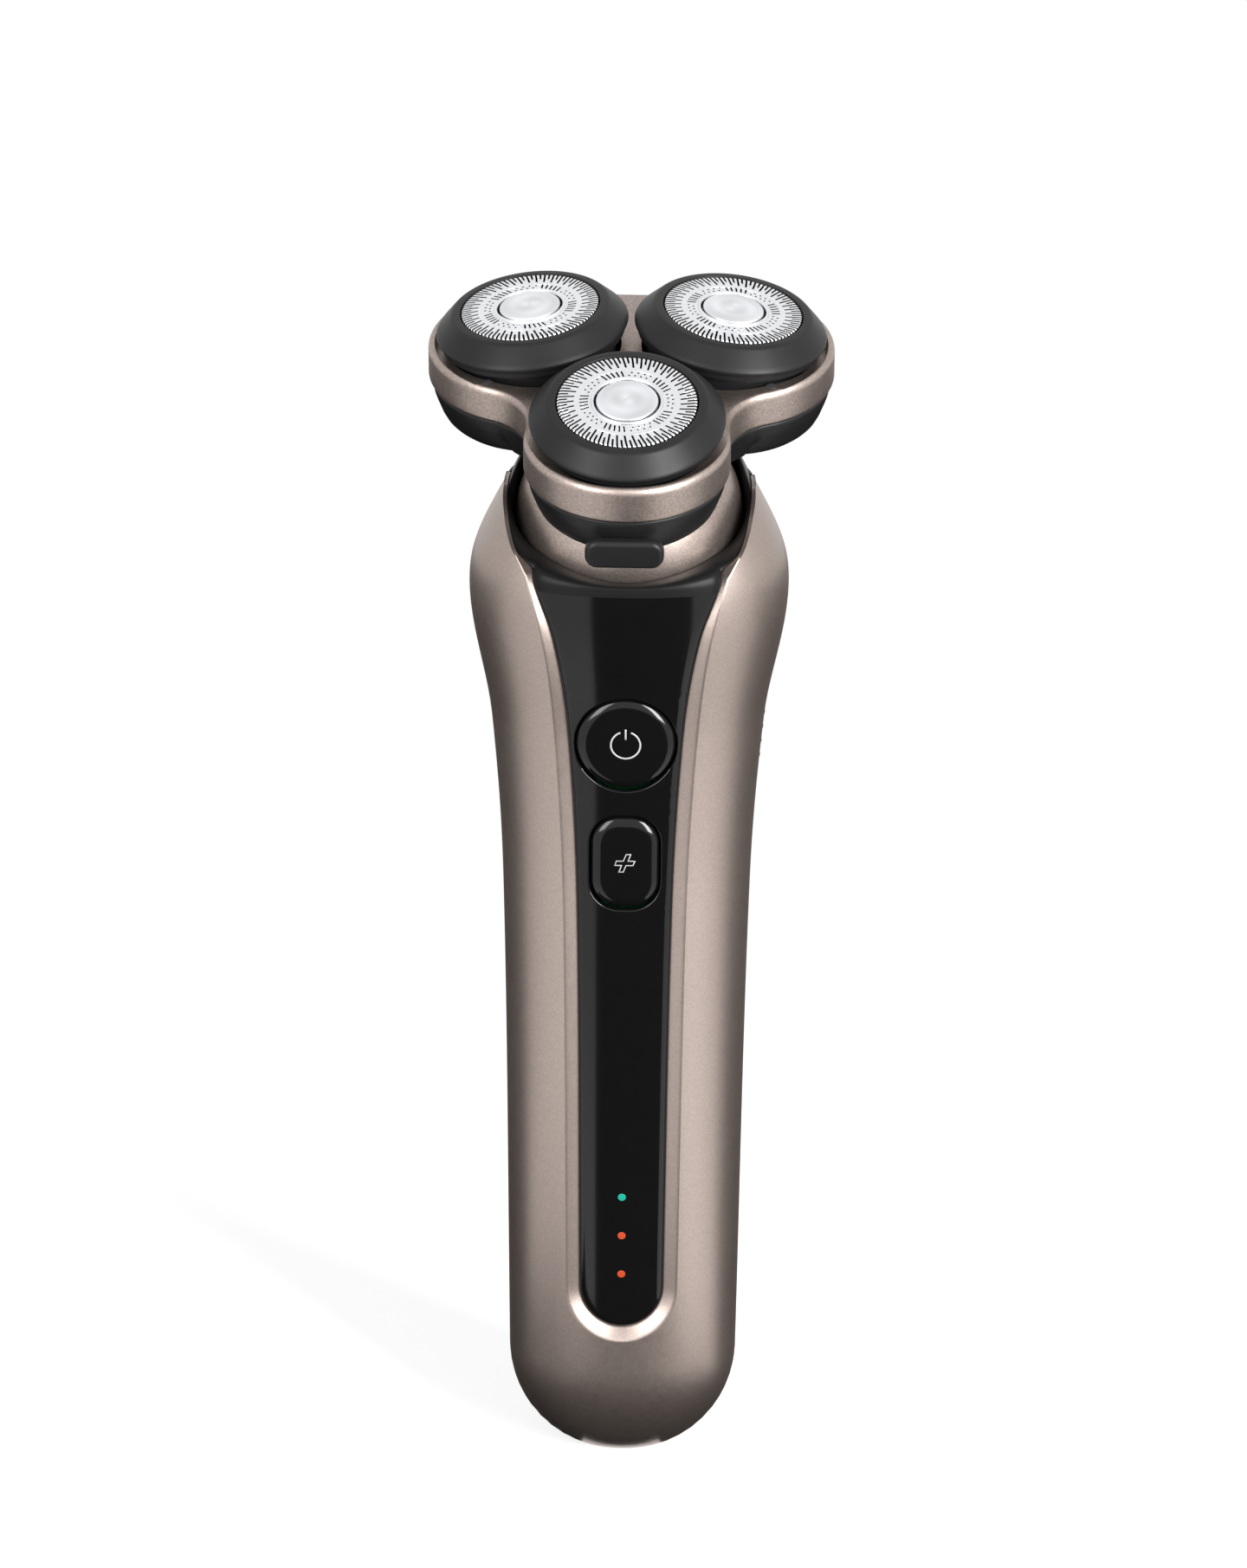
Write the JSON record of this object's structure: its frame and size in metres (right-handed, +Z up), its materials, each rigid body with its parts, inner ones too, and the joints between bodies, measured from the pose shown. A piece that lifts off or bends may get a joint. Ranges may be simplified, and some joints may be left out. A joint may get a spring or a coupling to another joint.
{
  "type": "rotary electric shaver",
  "caption": "Cordless rotary shaver with floating shaving units on a head that swivels on a ball neck, over a tapered handle with a gloss front panel and press buttons.",
  "frame": {"origin": "mouth of the charging socket in the rounded lower end of the handle", "axes": "+Z up the handle, -Y out of the front panel, +X to the right as seen from behind the front panel looking along +Y"},
  "size_m": [0.061, 0.0586, 0.1883],
  "materials": {
    "taupe_metallic": "satin metallic taupe lacquer",
    "gloss_black": "high gloss black",
    "satin_black": "satin black",
    "soft_rubber": "matt soft touch",
    "guard_steel": "fine brushed stainless steel",
    "cap_silver": "bright turned disc",
    "blade_steel": "ground steel",
    "gear_plastic": "natural acetal",
    "frame_plastic": "moulded grey",
    "swivel_metal": "die cast",
    "bright_steel": "plated",
    "spring_wire": "drawn wire",
    "board_green": "solder mask",
    "cell_wrap": "shrink sleeve",
    "contact_metal": "gold flash",
    "light_lens": "clear tinted lens",
    "copper_winding": "enamelled winding on a steel core"
  },
  "bodies": {
    "handle": {"front_shell": "taupe_metallic", "rear_shell": "satin_black", "rear_grip": "soft_rubber", "front_panel": "gloss_black", "neck_collar": "gloss_black", "chassis": "frame_plastic", "swivel_fork": "swivel_metal", "deck_screws": "bright_steel", "circuit_board": "board_green", "tact_switches": "bright_steel", "light_guides": "light_lens", "battery_cell": "cell_wrap", "cell_tabs": "contact_metal", "charging_socket": "frame_plastic", "socket_pins": "contact_metal", "motor_can": "bright_steel", "motor_endcap": "gear_plastic"},
    "power_key": {"power_button": "gloss_black"},
    "boost_key": {"boost_button": "gloss_black"},
    "rotor": {"motor_rotor": "copper_winding", "drive_ball": "gear_plastic"},
    "gimbal": {"gimbal_ring": "swivel_metal"},
    "head_base": {"neck_ball": "taupe_metallic", "head_shell": "satin_black", "gear_case": "frame_plastic", "gear_cover": "frame_plastic", "spindle_springs": "spring_wire", "latch_spring": "spring_wire"},
    "sun": {"sun_gear": "gear_plastic"},
    "latch": {"release_latch": "satin_black"},
    "lid": {"head_frame": "taupe_metallic", "unit_carrier": "frame_plastic", "hinge_pin": "bright_steel"},
    "drive_front": {"gear_front": "gear_plastic", "spindle_front": "bright_steel"},
    "unit_front": {"ring_front": "soft_rubber", "guard_front": "guard_steel", "cap_front": "cap_silver"},
    "blades_front": {"cutter_front": "blade_steel"},
    "drive_left": {"gear_left": "gear_plastic", "spindle_left": "bright_steel"},
    "unit_left": {"ring_left": "soft_rubber", "guard_left": "guard_steel", "cap_left": "cap_silver"},
    "blades_left": {"cutter_left": "blade_steel"},
    "drive_right": {"gear_right": "gear_plastic", "spindle_right": "bright_steel"},
    "unit_right": {"ring_right": "soft_rubber", "guard_right": "guard_steel", "cap_right": "cap_silver"},
    "blades_right": {"cutter_right": "blade_steel"}
  },
  "joints": [
    {"name": "power_press", "type": "slide", "parent": "handle", "child": "power_key", "axis": [0, 0.9946, 0.1036], "range_m": [0, 0.0005], "stiffness_N_per_m": 2000, "springref_m": -0.0003},
    {"name": "boost_press", "type": "slide", "parent": "handle", "child": "boost_key", "axis": [0, 0.9991, 0.0416], "range_m": [0, 0.0005], "stiffness_N_per_m": 2000, "springref_m": -0.0003},
    {"name": "rotor_spin", "type": "hinge", "parent": "handle", "child": "rotor", "pos_m": [0, 0, 0.153], "axis": [0, 0, 1], "continuous": true},
    {"name": "nod", "type": "hinge", "parent": "handle", "child": "gimbal", "pos_m": [0, 0, 0.153], "axis": [1, 0, 0], "range_deg": [-8, 8], "stiffness_Nm_per_rad": 0.6},
    {"name": "roll", "type": "hinge", "parent": "gimbal", "child": "head_base", "pos_m": [0, 0, 0.153], "axis": [0, 0.9659, 0.2588], "range_deg": [-8, 8], "stiffness_Nm_per_rad": 0.6},
    {"name": "sun_spin", "type": "hinge", "parent": "head_base", "child": "sun", "pos_m": [0, 0, 0.153], "axis": [0, -0.2588, 0.9659], "continuous": true},
    {"name": "drive_front_spin", "type": "hinge", "parent": "head_base", "child": "drive_front", "pos_m": [0, -0.01624, 0.14865], "axis": [0, -0.2588, 0.9659], "continuous": true},
    {"name": "drive_left_spin", "type": "hinge", "parent": "head_base", "child": "drive_left", "pos_m": [-0.01456, 0.00812, 0.15518], "axis": [0, -0.2588, 0.9659], "continuous": true},
    {"name": "drive_right_spin", "type": "hinge", "parent": "head_base", "child": "drive_right", "pos_m": [0.01456, 0.00812, 0.15518], "axis": [0, -0.2588, 0.9659], "continuous": true},
    {"name": "latch_press", "type": "slide", "parent": "head_base", "child": "latch", "axis": [0, 0.9659, 0.2588], "range_m": [0, 0.0006], "stiffness_N_per_m": 600, "springref_m": -0.0003, "deforming": ["latch_spring"]},
    {"name": "lid_open", "type": "hinge", "parent": "head_base", "child": "lid", "pos_m": [0, 0.01566, 0.18111], "axis": [-1, 0, 0], "range_deg": [0, 75]},
    {"name": "front_tilt", "type": "hinge", "parent": "lid", "child": "unit_front", "pos_m": [0, -0.02232, 0.17203], "axis": [1, 0, 0], "range_deg": [-4, 4], "stiffness_Nm_per_rad": 0.05},
    {"name": "front_spin", "type": "hinge", "parent": "unit_front", "child": "blades_front", "pos_m": [0, -0.02232, 0.17203], "axis": [0, -0.3827, 0.9239], "continuous": true},
    {"name": "left_tilt", "type": "hinge", "parent": "lid", "child": "unit_left", "pos_m": [-0.01441, 0.00178, 0.17849], "axis": [-0.5, -0.8365, -0.2241], "range_deg": [-4, 4], "stiffness_Nm_per_rad": 0.05},
    {"name": "left_spin", "type": "hinge", "parent": "unit_left", "child": "blades_left", "pos_m": [-0.01441, 0.00178, 0.17849], "axis": [-0.113, -0.1936, 0.9746], "continuous": true},
    {"name": "right_tilt", "type": "hinge", "parent": "lid", "child": "unit_right", "pos_m": [0.01441, 0.00178, 0.17849], "axis": [-0.5, 0.8365, 0.2241], "range_deg": [-4, 4], "stiffness_Nm_per_rad": 0.05},
    {"name": "right_spin", "type": "hinge", "parent": "unit_right", "child": "blades_right", "pos_m": [0.01441, 0.00178, 0.17849], "axis": [0.113, -0.1936, 0.9746], "continuous": true}
  ],
  "couplings": [
    {"joint": "sun_spin", "follows": "rotor_spin", "ratio": 1},
    {"joint": "drive_front_spin", "follows": "rotor_spin", "ratio": -0.55556},
    {"joint": "front_spin", "follows": "rotor_spin", "ratio": -0.55556},
    {"joint": "drive_left_spin", "follows": "rotor_spin", "ratio": -0.55556},
    {"joint": "left_spin", "follows": "rotor_spin", "ratio": -0.55556},
    {"joint": "drive_right_spin", "follows": "rotor_spin", "ratio": -0.55556},
    {"joint": "right_spin", "follows": "rotor_spin", "ratio": -0.55556}
  ]
}
